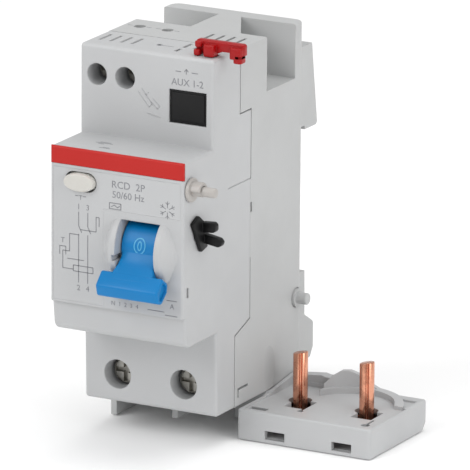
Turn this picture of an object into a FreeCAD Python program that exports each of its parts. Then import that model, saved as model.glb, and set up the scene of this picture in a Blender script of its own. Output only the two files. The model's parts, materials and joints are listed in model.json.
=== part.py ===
"""Add-on residual current device for a 35 mm rail, as an assembly of separate pieces.

Millimetres. The origin is the centre of the rail seat: X runs to the right along the rail, Y runs back
through the rail, and Z is up. The front is at negative Y. The breaker that the device works with stands
on its right, over the tray.
"""
import FreeCAD, Part
import math
import os

import Sketcher

V = FreeCAD.Vector
doc = FreeCAD.newDocument("ResidualCurrentDevice")
sheet = doc.addObject("Spreadsheet::Sheet", "Dims")


# ---------------------------------------------------------------- sizes

class Size:
    """A length with its value and the sheet expression that gives it."""

    def __init__(self, value, text):
        self.value = value
        self.text = text

    def joined(self, sign, other, result):
        right = other.text if isinstance(other, Size) else repr(float(other))
        return Size(result, "(%s%s%s)" % (self.text, sign, right))

    def __add__(self, other):
        return self.joined("+", other, self.value + number(other))

    def __sub__(self, other):
        return self.joined("-", other, self.value - number(other))

    def __mul__(self, other):
        return self.joined("*", other, self.value * number(other))

    def __truediv__(self, other):
        return self.joined("/", other, self.value / number(other))

    def __neg__(self):
        return Size(-self.value, "(0-%s)" % self.text)

    def __radd__(self, other):
        return Size(float(other), repr(float(other))) + self

    def __rsub__(self, other):
        return Size(float(other), repr(float(other))) - self


def number(size):
    return size.value if isinstance(size, Size) else float(size)


def size(alias, value, note):
    """Writes one driving dimension to the sheet and returns it."""
    row = size.row
    size.row += 1
    sheet.set("A%d" % row, alias)
    sheet.set("B%d" % row, str(value))
    sheet.set("C%d" % row, note)
    sheet.setAlias("B%d" % row, alias)
    return Size(float(value), "Dims." + alias)


size.row = 1

MODULE = size("module_pitch", 17.5, "width of one module on the rail")
HALF = size("body_half", 17.5, "half of the two-module width")
WALL = size("wall", 1.5, "moulded wall")
GAP = size("joint_gap", 0.3, "open line between cover and base")
CAP_HALF = size("cap_half", 22.25, "half of the front cap's height")
CAP_DEPTH = size("cap_depth", 59, "rail plane to cap face")
UPPER_DEPTH = size("upper_depth", 45, "rail plane to upper shoulder")
LOWER_DEPTH = size("lower_depth", 43, "rail plane to lower shoulder")
LOWER_LEAN = size("lower_lean", 0.6, "lean of the lower shoulder")
TOP = size("top_height", 43.5, "rail centre to top face")
BASE_DROP = size("base_drop", 42.5, "rail centre to bottom face")
JOINT_UP = size("joint_up", 31.8, "parting line at the top, from the rail plane")
JOINT_MID = size("joint_mid", 26.4, "parting line beside the toggle")
JOINT_LOW = size("joint_low", 33.7, "parting line at the bottom")
JOINT_TOP_STEP = size("joint_top_step", 28.2, "height of the parting line's upper step")
JOINT_LOW_STEP = size("joint_low_step", 22.5, "drop to the parting line's lower slope")
JOINT_SLOPE = size("joint_slope", 2.6, "height of the parting line's lower slope")
LABEL_DROP = size("label_drop", 14.9, "drop to the label zone's lower edge")
CHANNEL_FRONT = size("channel_front", 19, "front of the wiring channel")
CHANNEL_BACK = size("channel_back", 5, "front of the rear wall")
CHANNEL_FLOOR = size("channel_floor", 30.5, "floor of the wiring channel")
RAIL_HALF = size("rail_half", 17.5, "half of the 35 mm rail")
RAIL_THICK = size("rail_thick", 1.2, "slot for the 1 mm rail edge")
LIP = size("rail_lip", 0.8, "overlap of hook and clip on the rail edge")
SEAT_BACK = size("inner_back", 4.9, "back of the interior, from the rail plane")

TOGGLE_X = size("toggle_centre", 6.3, "toggle's middle")
TOGGLE_DEPTH = size("toggle_depth", 53, "toggle axis, from the rail plane")
DRUM_R = size("drum_radius", 6.6, "toggle drum")
DRUM_HALF = size("drum_half", 4.85, "half width of the drum")
SLOT_HALF = size("slot_half", 5.1, "half width of the toggle's slot")
CHEEK_R = size("cheek_radius", 9.3, "raised cheeks beside the toggle")
CHEEK_END_R = size("cheek_end_radius", 6.05, "cheeks where they meet the face")
CHEEK_FLAT = size("cheek_flat", 1.3, "width of a cheek's round part")
CHEEK_SLOPE = size("cheek_slope", 3.3, "width of a cheek's sloped part")
CHEEK_WALL = size("cheek_wall", 1.1, "thickness of a cheek")
BAR_HALF = size("bar_half", 8.1, "half width of the toggle's grip")
TOGGLE_REST = size("toggle_rest", 35, "degrees below level in the off position")
AXLE_R = size("axle_radius", 1.0, "toggle axle")
RUN = size("running_gap", 0.05, "radial clearance of a running fit")

BUTTON_X = size("button_centre", -9.5, "test button")
BUTTON_Z = size("button_height", 14.5, "test button")
BUTTON_R = size("button_radius", 2.15, "round ends of the test button")
BUTTON_HALF = size("button_half", 1.85, "from the button's middle to the centre of a round end")
LINK_DEPTH = size("link_depth", 55.8, "link pin axis")
LINK_Z = size("link_height", 15.5, "link pin axis")
LINK_R = size("link_radius", 1.5, "link pin's shaft in the side wall")
FORK_DEPTH = size("fork_depth", 52, "trip fork axis")
FORK_Z = size("fork_height", 4.2, "trip fork axis")
FORK_R = size("fork_radius", 2.0, "trip fork's shaft in the side wall")

LOAD_X = size("load_offset", 8.75, "load terminals either side of the middle")
LOAD_DROP = size("load_drop", 35.7, "load screws below the rail centre")
AUX_X = size("aux_left", -13.1, "first auxiliary terminal")
AUX_PITCH = size("aux_pitch", 7.4, "pitch of the auxiliary terminals")
AUX_Z = size("aux_height", 36.5, "auxiliary screws")

TRAY_FRONT = size("tray_front", 32.5, "tray front, from the rail plane")
TRAY_BACK = size("tray_back", 3.7, "tray back, from the rail plane")
TRAY_TOP = size("tray_top", 42.85, "drop to the tray's top")
TRAY_LOW = size("tray_low", 50.25, "drop to the tray's underside")
PIN_DEPTH = size("pin_depth", 17.5, "copper pins, from the rail plane")
PIN_R = size("pin_radius", 1.75, "copper pin")
PIN_TOP = size("pin_top", 31.4, "drop to the top of the pins")

SLIDER_LEFT = size("slider_left", 11.3, "left end of the locking slider")
SLIDER_RIGHT = size("slider_right", 24.1, "right end of the locking slider")


# ---------------------------------------------------------------- tools for making pieces

PIECES = []


def piece(label):
    """Starts a sub-part: a body whose label names its file."""
    body = doc.addObject("PartDesign::Body", label)
    body.Label = label
    body.AllowCompound = True
    PIECES.append(body)
    return body


def bind(obj, prop, value):
    """Sets a property, and ties it to the sheet where its size comes from there."""
    if isinstance(value, Size):
        obj.setExpression(prop, value.text)
    else:
        obj.setExpression(prop, repr(float(value)))


def span_of(span):
    """(start, length) of a (low, high) pair."""
    low, high = span
    return low, (high - low if isinstance(high, Size) or isinstance(low, Size) else float(high) - float(low))


def block(body, x, y, z, cut=False):
    """A box from (low, high) pairs, added to the body or cut from it."""
    kind = "PartDesign::SubtractiveBox" if cut else "PartDesign::AdditiveBox"
    box = body.newObject(kind, "Cut" if cut else "Block")
    for axis, prop, span in (("x", "Length", x), ("y", "Width", y), ("z", "Height", z)):
        low, length = span_of(span)
        bind(box, prop, length)
        bind(box, "Placement.Base." + axis, low)
    return added(body, box, cut)


TURNS = {
    "x": FreeCAD.Rotation(V(0, 1, 0), 90),
    "y": FreeCAD.Rotation(V(1, 0, 0), -90),
    "z": FreeCAD.Rotation(),
}


def rod(body, axis, centre, radius, span, cut=False):
    """A cylinder along an axis. centre gives the other two coordinates, in X, Y, Z order."""
    kind = "PartDesign::SubtractiveCylinder" if cut else "PartDesign::AdditiveCylinder"
    cylinder = body.newObject(kind, "Hole" if cut else "Rod")
    cylinder.Placement = FreeCAD.Placement(V(), TURNS[axis])
    low, length = span_of(span)
    bind(cylinder, "Radius", radius)
    bind(cylinder, "Height", length)
    places = list(centre)
    places.insert("xyz".index(axis), low)
    for name, value in zip("xyz", places):
        bind(cylinder, "Placement.Base." + name, value)
    return added(body, cylinder, cut)


def cone(body, centre, radii, span, cut=False):
    """A cone about an X axis, from the first radius at the low end to the second at the high end."""
    kind = "PartDesign::SubtractiveCone" if cut else "PartDesign::AdditiveCone"
    taper = body.newObject(kind, "Taper")
    taper.Placement = FreeCAD.Placement(V(), TURNS["x"])
    low, length = span_of(span)
    bind(taper, "Radius1", radii[0])
    bind(taper, "Radius2", radii[1])
    bind(taper, "Height", length)
    for name, value in zip("xyz", (low, *centre)):
        bind(taper, "Placement.Base." + name, value)
    return added(body, taper, cut)


def dimple(body, centre, radii):
    """A shallow hollow cut by an ellipsoid."""
    hollow = body.newObject("PartDesign::SubtractiveEllipsoid", "Hollow")
    for name, value in zip(("Radius2", "Radius3", "Radius1"), radii):
        bind(hollow, name, value)
    for name, value in zip("xyz", centre):
        bind(hollow, "Placement.Base." + name, value)
    return added(body, hollow, True)


PLANES = {"x": "YZ_Plane", "y": "XZ_Plane", "z": "XY_Plane"}


def outline(body, axis, points, start):
    """A closed sketch across an axis, each corner tied to the sheet."""
    sketch = body.newObject("Sketcher::SketchObject", "Outline")
    role = PLANES[axis]
    sketch.AttachmentSupport = ([o for o in body.Origin.OriginFeatures if o.Role == role][0], "")
    sketch.MapMode = "FlatFace"
    bind(sketch, "AttachmentOffset.Base.z", start)
    corners = [V(number(u), number(v), 0) for u, v in points]
    count = len(corners)
    for i in range(count):
        sketch.addGeometry(Part.LineSegment(corners[i], corners[(i + 1) % count]), False)
    for i in range(count):
        sketch.addConstraint(Sketcher.Constraint("Coincident", i, 2, (i + 1) % count, 1))
    for i, (u, v) in enumerate(points):
        for kind, value in (("DistanceX", u), ("DistanceY", v)):
            index = sketch.addConstraint(Sketcher.Constraint(kind, -1, 1, i, 1, number(value)))
            if isinstance(value, Size):
                sketch.setExpression("Constraints[%d]" % index, value.text)
    return sketch


def prism(body, axis, points, span, cut=False):
    """An outline extruded over a (low, high) pair of its axis, added or cut."""
    low, high = span
    length = span_of(span)[1]
    # the XZ plane's normal points to -Y, so a span along Y starts from its high end
    start = -high if axis == "y" and isinstance(high, Size) else (-float(high) if axis == "y" else low)
    feature = body.newObject("PartDesign::Pocket" if cut else "PartDesign::Pad", "Pocket" if cut else "Pad")
    body.removeObject(feature)
    sketch = outline(body, axis, points, start)
    body.addObject(feature)
    feature.Profile = sketch
    feature.Reversed = bool(cut)
    bind(feature, "Length", length)
    return added(body, feature, cut)


def added(body, feature, cut):
    """Makes a feature the body's last one and notes whether it should take material away."""
    feature.Refine = False
    body.Tip = feature
    STEPS.setdefault(body.Label, []).append((feature, cut))
    return feature


def check_steps():
    """Stops if any feature failed, or an addition or a cut changed nothing."""
    for label, steps in STEPS.items():
        before = 0.0
        for feature, cut in steps:
            if "Invalid" in feature.State or "Error" in feature.State or feature.Shape.isNull():
                raise RuntimeError("%s: %s failed" % (label, feature.Name))
            after = feature.Shape.Volume
            if (cut and after >= before - 1e-6) or (cut is False and after <= before + 1e-6):
                raise RuntimeError("%s: %s changed nothing" % (label, feature.Name))
            before = after


STEPS = {}


def round_edges(body, radius, wanted):
    """Fillets the edges of the body whose middle point and direction pass a test."""
    doc.recompute()
    tip = body.Tip
    names = []
    for i, edge in enumerate(tip.Shape.Edges):
        first, last = edge.ParameterRange
        middle = edge.valueAt((first + last) / 2)
        direction = edge.tangentAt((first + last) / 2)
        if wanted(middle, direction):
            names.append("Edge%d" % (i + 1))
    fillet = body.newObject("PartDesign::Fillet", "Round")
    fillet.Base = (tip, names)
    bind(fillet, "Radius", radius)
    return added(body, fillet, None)


def own_shape(label, shape, placement=FreeCAD.Placement()):
    """A sub-part whose shape no feature makes, such as a coil or a bent wire."""
    feature = doc.addObject("Part::Feature", label)
    feature.Label = label
    feature.Shape = shape
    feature.Placement = placement
    PIECES.append(feature)
    return feature


def wire_tube(points, radius, bend):
    """A round wire along straight runs, with an arc of one radius at each corner."""
    corners = [V(*[number(c) for c in p]) for p in points]
    edges = []
    start = corners[0]
    for i in range(1, len(corners) - 1):
        into = (corners[i] - corners[i - 1]).normalize()
        out = (corners[i + 1] - corners[i]).normalize()
        turn = into.getAngle(out)
        back = bend * math.tan(turn / 2)
        first = corners[i] - into * back
        last = corners[i] + out * back
        inward = (out - into).normalize()
        middle = corners[i] + inward * (bend / math.cos(turn / 2) - bend)
        edges.append(Part.LineSegment(start, first).toShape())
        edges.append(Part.Arc(first, middle, last).toShape())
        start = last
    edges.append(Part.LineSegment(start, corners[-1]).toShape())
    path = Part.Wire(edges)
    ring = Part.Wire([Part.Circle(corners[0], corners[1] - corners[0], radius).toShape()])
    return path.makePipeShell([ring], True, True)


def coil_spring(label, centre, axis, radius, wire, length, turns):
    """A helical spring with its axis along a row axis, starting at centre."""
    helix = Part.makeHelix(length / turns, length, radius)
    ring = Part.Wire([Part.Circle(V(radius, 0, 0), V(0, 1, 0), wire).toShape()])
    spring = Part.Wire(helix).makePipeShell([ring], True, True)
    place = FreeCAD.Placement(V(*[number(c) for c in centre]), TURNS[axis])
    return own_shape(label, spring, place)


# ---------------------------------------------------------------- housing

CAP_FACE = -CAP_DEPTH
SIDE_IN = HALF - WALL


SIDE_LINE = 11.35
LOAD_HEAD = (-38.8, -35.65)
AUX_HEAD = (-39.6, -37.25)


def cover_outline(inset, back):
    """The cover's side view, drawn inside the walls by an inset and stopped short of the parting line."""
    return [
        (CAP_FACE + inset, CAP_HALF - inset),
        (inset - UPPER_DEPTH, CAP_HALF - inset),
        (inset - UPPER_DEPTH, TOP - inset),
        (-JOINT_UP - back, TOP - inset),
        (-JOINT_UP - back, JOINT_TOP_STEP - back),
        (-JOINT_MID - back, JOINT_TOP_STEP - back),
        (-JOINT_MID - back, -JOINT_LOW_STEP + back),
        (-JOINT_LOW - back, -JOINT_LOW_STEP - JOINT_SLOPE + back),
        (-JOINT_LOW - back, inset - BASE_DROP),
        (LOWER_LEAN - LOWER_DEPTH + inset, inset - BASE_DROP),
        (inset - LOWER_DEPTH, inset - CAP_HALF),
        (CAP_FACE + inset + 1.7, inset - CAP_HALF),
        (CAP_FACE + inset + 0.9, -LABEL_DROP - 0.1),
        (CAP_FACE + inset, -LABEL_DROP),
    ]


def near(a, b, tolerance=0.02):
    return abs(a - number(b)) < tolerance


def front_cover():
    body = piece("front_cover")
    prism(body, "x", cover_outline(0, GAP), (-HALF, HALF))
    front_of_joint = -number(JOINT_UP) - 1
    across = lambda p, t: abs(t.x) > 0.99
    round_edges(body, 2.4, lambda p, t: across(p, t) and near(p.z, -CAP_HALF) and near(p.y, CAP_FACE + 1.7))
    round_edges(body, 0.9, lambda p, t: across(p, t) and (
        (near(p.z, CAP_HALF) and near(p.y, CAP_FACE)) or (near(p.z, TOP) and near(p.y, -UPPER_DEPTH))
        or (near(p.z, -BASE_DROP) and p.y < -41)))
    round_edges(body, 0.7, lambda p, t: near(abs(p.x), HALF) and p.y < front_of_joint and not (
        near(p.y, -JOINT_LOW - GAP, 0.3)))
    prism(body, "x", cover_outline(WALL, GAP - 0.5), (-SIDE_IN, SIDE_IN), cut=True)
    cheeks(body)
    block(body, (-HALF - 1, HALF + 1), (CAP_FACE - 1, CAP_FACE + 0.7), (CAP_HALF - 4.1, CAP_HALF + 1), cut=True)
    prism(body, "y", label_outline(), (CAP_FACE - 1, CAP_FACE + 0.4), cut=True)
    block(body, (5.9, 15.7), (-UPPER_DEPTH - 1, -UPPER_DEPTH + 0.8), (27.5, 35.5), cut=True)
    block(body, (7.4, 14.2), (-UPPER_DEPTH - 1, -UPPER_DEPTH + 3), (29, 34), cut=True)
    button_hole(body)
    for x in (AUX_X, AUX_X + AUX_PITCH):
        rod(body, "y", (x, AUX_Z), 3.4, (-UPPER_DEPTH + 0.6, -36.4))
        rod(body, "y", (x, AUX_Z), 2.6, (-UPPER_DEPTH - 1, AUX_HEAD[0]), cut=True)
        rod(body, "y", (x, AUX_Z), 2.85, (AUX_HEAD[0] - 0.3, AUX_HEAD[1] + 0.05), cut=True)
        rod(body, "y", (x, AUX_Z), 1.75, (-UPPER_DEPTH, -30), cut=True)
    for x in (-LOAD_X, LOAD_X):
        rod(body, "y", (x, -LOAD_DROP), 4.6, (-LOWER_DEPTH + 1.2, -34.4))
        rod(body, "y", (x, -LOAD_DROP), 3.55, (-LOWER_DEPTH - 1, LOAD_HEAD[0] - 0.1), cut=True)
        rod(body, "y", (x, -LOAD_DROP), 3.75, (LOAD_HEAD[0] - 0.2, LOAD_HEAD[1] + 0.05), cut=True)
        rod(body, "y", (x, -LOAD_DROP), 2.75, (-LOWER_DEPTH, -30), cut=True)
    side_wall = (SIDE_IN - 0.5, HALF + 1)
    rod(body, "x", (-LINK_DEPTH, LINK_Z), LINK_R + RUN, side_wall, cut=True)
    rod(body, "x", (-FORK_DEPTH, FORK_Z), FORK_R + RUN, side_wall, cut=True)
    for x in (-15.0, -12.2, -9.4, -6.6):
        block(body, (x - 0.35, x + 0.35), (-40.4, -34.8), (TOP - 0.45, TOP + 1), cut=True)
    for i in range(4):
        x = 5.5 + 2.8 * i
        block(body, (x - 0.4, x + 0.4), (-37.4, -33.4), (TOP - 3, TOP + 1), cut=True)
    block(body, (5.1, 5.9), (-41.4, -38.8), (TOP - 3, TOP + 1), cut=True)
    rod(body, "z", (-0.5, -38), 0.5, (TOP - 0.8, TOP + 1), cut=True)
    block(body, (10.9, 16.2), (-41.3, -39.3), (TOP - 3, TOP + 1), cut=True)
    block(body, (SIDE_IN - 0.5, HALF + 1), (-57.3, -56.4), (-10, -7.6), cut=True)
    for side in (-1, 1):
        inner, outer = sorted((side * (17.5 - 0.15), side * 18.5))
        block(body, (inner, outer), (-37.5, -26), (SIDE_LINE, SIDE_LINE + 0.25), cut=True)
    return body


AXLE_WALL_BACK = AXLE_R + 1.4 - TOGGLE_DEPTH


CHEEK_STEPS = 5


def cheek_radius(step):
    """The cheek's radius at a step down its slope, easing out of its round part and into the face."""
    share = step / CHEEK_STEPS
    ease = share * share * (3 - 2 * share)
    return CHEEK_R - (CHEEK_R - CHEEK_END_R) * ease


def cheeks(body):
    """The cheeks beside the toggle, sloped to the face and hollow behind, and the slot that the toggle turns in."""
    axis = (-TOGGLE_DEPTH, 0.0)
    left = TOGGLE_X - SLOT_HALF
    right = TOGGLE_X + SLOT_HALF
    rod(body, "x", axis, CHEEK_R, (left - CHEEK_FLAT, right + CHEEK_FLAT))
    for i in range(CHEEK_STEPS):
        radii = (cheek_radius(i), cheek_radius(i + 1))
        near_end = CHEEK_SLOPE * (i / CHEEK_STEPS)
        far_end = CHEEK_SLOPE * ((i + 1) / CHEEK_STEPS)
        cone(body, axis, radii, (right + CHEEK_FLAT + near_end, right + CHEEK_FLAT + far_end))
        cone(body, axis, radii[::-1], (left - CHEEK_FLAT - far_end, left - CHEEK_FLAT - near_end))
    inner = CHEEK_R - CHEEK_WALL
    inner_end = CHEEK_END_R - CHEEK_WALL
    rod(body, "x", axis, inner, (left - CHEEK_FLAT, left - 1.0), cut=True)
    rod(body, "x", axis, inner, (right + 1.0, right + CHEEK_FLAT), cut=True)
    cone(body, axis, (inner_end, inner), (left - CHEEK_FLAT - CHEEK_SLOPE, left - CHEEK_FLAT), cut=True)
    cone(body, axis, (inner, inner_end), (right + CHEEK_FLAT, right + CHEEK_FLAT + CHEEK_SLOPE), cut=True)
    rod(body, "x", axis, CHEEK_R + 1, (left, right), cut=True)
    for z in ((7.05, 9), (-9, -7.05)):
        block(body, (left, right), (CAP_FACE, CAP_FACE + WALL), z)
    rod(body, "x", axis, AXLE_R, (left - 2, right + 2), cut=True)
    block(body, (left - 0.8, left + 0.1), (-63, -57.8), (-2.2, -0.8), cut=True)
    block(body, (left - CHEEK_FLAT - CHEEK_SLOPE, SIDE_IN), (AXLE_WALL_BACK, -42), (-10, 10), cut=True)
    for x in ((left - CHEEK_FLAT - CHEEK_SLOPE, left - CHEEK_FLAT), (right + CHEEK_FLAT, SIDE_IN)):
        block(body, x, (CAP_FACE + WALL, -42), (-10, 10), cut=True)


def label_outline():
    """The L-shaped label zone: a column at the left and a band over the toggle."""
    left = 0.9 - HALF
    right = HALF - 0.9
    column = -3.6
    low = -LABEL_DROP + 0.7
    band = 8.9
    high = CAP_HALF - 4.9
    return [(left, low), (column, low), (column, band), (right, band), (right, high), (left, high)]


def button_hole(body):
    """The oval opening for the test button, as a slot between two round ends."""
    half = BUTTON_R + 0.2
    block(body, (BUTTON_X - BUTTON_HALF, BUTTON_X + BUTTON_HALF), (CAP_FACE - 1, CAP_FACE + 3),
          (BUTTON_Z - half, BUTTON_Z + half), cut=True)
    for x in (BUTTON_X - BUTTON_HALF, BUTTON_X + BUTTON_HALF):
        rod(body, "y", (x, BUTTON_Z), half, (CAP_FACE - 1, CAP_FACE + 3), cut=True)


TONGUE_Z = (9.5, 19.5)
RIVET_AT = (-3.4, -23.1)
RIVET_R = 1.4
STUB_END = 20.7


def rear_base():
    body = piece("rear_base")
    prism(body, "x", [
        (-JOINT_UP, TOP), (0, TOP), (0, -BASE_DROP), (-JOINT_LOW, -BASE_DROP),
        (-JOINT_LOW, -JOINT_LOW_STEP - JOINT_SLOPE), (-JOINT_MID, -JOINT_LOW_STEP),
        (-JOINT_MID, JOINT_TOP_STEP), (-JOINT_UP, JOINT_TOP_STEP)], (-HALF, HALF))
    round_edges(body, 2.5, lambda p, t: abs(t.z) > 0.99 and near(abs(p.x), HALF) and near(p.y, 0))
    round_edges(body, 0.5, lambda p, t: abs(t.y) > 0.99 and near(abs(p.x), HALF) and (
        near(p.z, TOP) or near(p.z, -BASE_DROP)))
    inside_top = TOP - WALL
    under_channel = CHANNEL_FLOOR - WALL
    prism(body, "x", [
        (-40, inside_top), (-CHANNEL_FRONT - WALL, inside_top), (-CHANNEL_FRONT - WALL, under_channel),
        (-SEAT_BACK, under_channel), (-SEAT_BACK, WALL - BASE_DROP), (-40, WALL - BASE_DROP)],
        (-SIDE_IN, SIDE_IN), cut=True)
    prism(body, "z", [(10.5, -CHANNEL_FRONT), (HALF + 1, -CHANNEL_FRONT), (HALF + 1, -CHANNEL_BACK),
                      (3.1, -CHANNEL_BACK)], (CHANNEL_FLOOR, TOP + 1), cut=True)
    rod(body, "y", (1.7 - HALF, TOP), TOP - CHANNEL_FLOOR, (-CHANNEL_FRONT, -CHANNEL_BACK), cut=True)
    hook_low = RAIL_HALF - LIP
    prism(body, "x", [(-2, 37), (4.5, 37), (7.4, hook_low + 0.6), (6.8, hook_low), (RAIL_THICK, hook_low),
                      (RAIL_THICK, RAIL_HALF + 0.1), (-2, RAIL_HALF + 0.1)], (0.6 - HALF, HALF - 0.6))
    block(body, (-HALF - 1, HALF + 1), (-0.3, RAIL_THICK), (hook_low - 0.6, RAIL_HALF + 0.1), cut=True)
    prism(body, "x", [(-2, -RAIL_HALF - 0.2), (1.4, -RAIL_HALF - 0.2), (1.6, -28.6), (5.6, -31), (6, -31.6),
                      (6, -37.4), (4.6, -39.6), (2, -40.2), (-2, -40.2)], (0.4 - HALF, HALF - 0.4))
    clip_channel(body)
    for x in (-LOAD_X, LOAD_X):
        rod(body, "z", (x, -23), 3.6, (-BASE_DROP - 1, -BASE_DROP + 3), cut=True)
    for x in (AUX_X, AUX_X + AUX_PITCH):
        rod(body, "z", (x, -24.7), 1.4, (TOP - 3, TOP + 1), cut=True)
    for i in range(4):
        x = 5.5 + 2.8 * i
        block(body, (x - 0.4, x + 0.4), (-30.6, -22.6), (TOP - 3, TOP + 1), cut=True)
    block(body, (9.9, 15.7), (-17.4, -5.6), (-BASE_DROP - 1, -BASE_DROP + 3), cut=True)
    block(body, (-HALF, -SIDE_IN), (-30, -6), (-50, -BASE_DROP + 1))
    block(body, (-0.7, 0.7), (-30.7, -14), (-48.2, -BASE_DROP + 1))
    for side in (-1, 1):
        inner, outer = sorted((side * 14.9, side * 15.95))
        block(body, (inner, outer), (-33, -22), TONGUE_Z)
        inner, outer = sorted((side * 15.5, side * 16.4))
        block(body, (inner, outer), (-26.1, -22), TONGUE_Z)
        inner, outer = sorted((side * 17.0, side * 18.5))
        rod(body, "x", RIVET_AT, RIVET_R + 1.0, (inner, outer), cut=True)
        inner, outer = sorted((side * 12.0, side * 18.5))
        rod(body, "x", RIVET_AT, RIVET_R, (inner, outer), cut=True)
    for side in (-1, 1):
        inner, outer = sorted((side * 16.2, side * 17.5))
        block(body, (inner, outer), (-JOINT_MID - GAP, -JOINT_MID + 1), (-7.5, SIDE_LINE))
    block(body, (SIDE_IN - 0.5, HALF + 1), (-26.6, -25.8), (3.2, 5.6), cut=True)
    block(body, (HALF - 0.9, HALF + 1), (-32.3, -31.7), (-40.4, -38.0), cut=True)
    block(body, (HALF - 0.9, HALF + 1), (-32.3, -27.2), (-38.6, -38.0), cut=True)
    dimple(body, (HALF + 2.1, -17, -37.2), (2.5, 5.9, 10.5))
    return body


def clip_channel(body):
    """The T-shaped channel up the back for the rail clip, and the peg that its spring stands on."""
    block(body, (-7.8, 7.8), (-3.6, -1.0), (-BASE_DROP - 1, -12), cut=True)
    block(body, (-6.1, 6.1), (-1.2, 8), (-BASE_DROP - 1, -12), cut=True)
    block(body, (-1.3, 1.3), (-3.8, -1.5), (-40, -38))


def red_strip():
    body = piece("red_strip")
    block(body, (0.05 - HALF, HALF - 0.05), (CAP_FACE, CAP_FACE + 0.7), (CAP_HALF - 4.05, CAP_HALF))
    round_edges(body, 0.4, lambda p, t: near(p.y, CAP_FACE) and p.z > 18.3)
    return body


def label_plate():
    body = piece("label_plate")
    prism(body, "y", label_outline(), (CAP_FACE, CAP_FACE + 0.4))
    button_hole(body)
    return body


def window_insert():
    body = piece("window_insert")
    block(body, (5.95, 15.65), (-UPPER_DEPTH + 0.35, -UPPER_DEPTH + 0.8), (27.55, 35.45))
    block(body, (7.45, 14.15), (-UPPER_DEPTH + 0.7, -UPPER_DEPTH + 2.2), (29.05, 33.95))
    return body


def side_rivets():
    """A round collar and a stub that stands out of each side, on a shank in the wall."""
    body = piece("side_rivets")
    for side, reach in ((-1, 17.4), (1, STUB_END)):
        low, high = sorted((side * 12.1, side * reach))
        rod(body, "x", RIVET_AT, RIVET_R, (low, high))
        low, high = sorted((side * 17.0, side * min(reach, 18.1)))
        rod(body, "x", RIVET_AT, RIVET_R + 0.85, (low, high))
    round_edges(body, 0.4, lambda p, t: near(p.x, STUB_END))
    rod(body, "x", RIVET_AT, 0.75, (-17.5, -14), cut=True)
    return body


# ---------------------------------------------------------------- toggle, button, side pins

def on_arm(along, across):
    """A point of the toggle's side view, given along its arm and across it, in the off position."""
    rest = math.radians(number(TOGGLE_REST))
    y = -number(TOGGLE_DEPTH) - along * math.cos(rest) + across * math.sin(rest)
    z = -along * math.sin(rest) - across * math.cos(rest)
    return (y, z)


def toggle():
    body = piece("toggle")
    axis = (-TOGGLE_DEPTH, 0.0)
    width = (TOGGLE_X - DRUM_HALF, TOGGLE_X + DRUM_HALF)
    rod(body, "x", axis, DRUM_R, width)
    neck = [on_arm(2, -5.6), on_arm(8, -2.8), on_arm(11, -2.2), on_arm(12, 1.6), on_arm(7, 2.2), on_arm(2, 4)]
    prism(body, "x", neck, (TOGGLE_X - 4.35, TOGGLE_X + 4.35))
    grip = [on_arm(15.75, 1.05), on_arm(14.8, -1.4), on_arm(10.7, -2.2), on_arm(9.65, 0.7), on_arm(11.1, 2.3),
            on_arm(14.5, 2.7)]
    prism(body, "x", grip, (TOGGLE_X - BAR_HALF, TOGGLE_X + BAR_HALF))
    round_edges(body, 0.6, lambda p, t: abs(t.x) > 0.99 and math.hypot(p.y + 53, p.z) > 12.8)
    rod(body, "x", axis, AXLE_R + RUN, (TOGGLE_X - 6, TOGGLE_X + 6), cut=True)
    rod(body, "x", axis, 3.1, (width[0] - 1, width[0] + 3), cut=True)
    return body


def toggle_axle():
    body = piece("toggle_axle")
    rod(body, "x", (-TOGGLE_DEPTH, 0.0), AXLE_R, (-0.4, 12.9))
    return body


def test_button():
    body = piece("test_button")
    front = (CAP_FACE - 1.5, CAP_FACE + 2)
    block(body, (BUTTON_X - BUTTON_HALF, BUTTON_X + BUTTON_HALF), front, (BUTTON_Z - BUTTON_R, BUTTON_Z + BUTTON_R))
    for x in (BUTTON_X - BUTTON_HALF, BUTTON_X + BUTTON_HALF):
        rod(body, "y", (x, BUTTON_Z), BUTTON_R, front)
    round_edges(body, 0.6, lambda p, t: near(p.y, CAP_FACE - 1.5) and (
        near(abs(p.z - 14.5), 2.15, 0.1) or abs(p.x + 9.5) > 3.9))
    block(body, (BUTTON_X - 5, BUTTON_X + 5), (CAP_FACE + 1.8, CAP_FACE + 2.8), (BUTTON_Z - 3.3, BUTTON_Z + 3.3))
    rod(body, "y", (BUTTON_X, BUTTON_Z), 1.1, (CAP_FACE + 2.5, -50.9))
    return body


def test_contacts():
    body = piece("test_contacts")
    block(body, (-13.5, -5.5), (-50.6, -50.2), (11, 18))
    block(body, (-13.5, -5.5), (-48.9, -48.5), (11, 18))
    rod(body, "y", (BUTTON_X, BUTTON_Z), 1.3, (-51, -50), cut=True)
    return body


def link_pin():
    body = piece("link_pin")
    axis = (-LINK_DEPTH, LINK_Z)
    rod(body, "x", axis, 2.85, (HALF + 0.1, HALF + 0.9))
    rod(body, "x", axis, LINK_R, (13.4, HALF + 0.5))
    rod(body, "x", axis, 2.1, (HALF + 0.5, HALF + 3.4))
    block(body, (HALF + 0.9, HALF + 4), (-LINK_DEPTH - 3, -LINK_DEPTH + 3), (LINK_Z - 3, LINK_Z + 0.3), cut=True)
    rod(body, "x", axis, 1.35, (HALF + 0.5, HALF + 3.4))
    rod(body, "x", axis, 1.15, (HALF + 3.3, HALF + 6.8))
    round_edges(body, 0.3, lambda p, t: near(p.x, HALF + 6.8))
    return body


def link_retainer():
    """A half ring on the pin's shaft, on the side away from the front wall."""
    body = piece("link_retainer")
    rod(body, "x", (-LINK_DEPTH, LINK_Z), LINK_R + 1.1, (14.9, 15.7))
    rod(body, "x", (-LINK_DEPTH, LINK_Z), LINK_R, (14, 16.5), cut=True)
    block(body, (14, 16.5), (-LINK_DEPTH - 4, -LINK_DEPTH), (LINK_Z - 4, LINK_Z + 4), cut=True)
    return body


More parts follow.
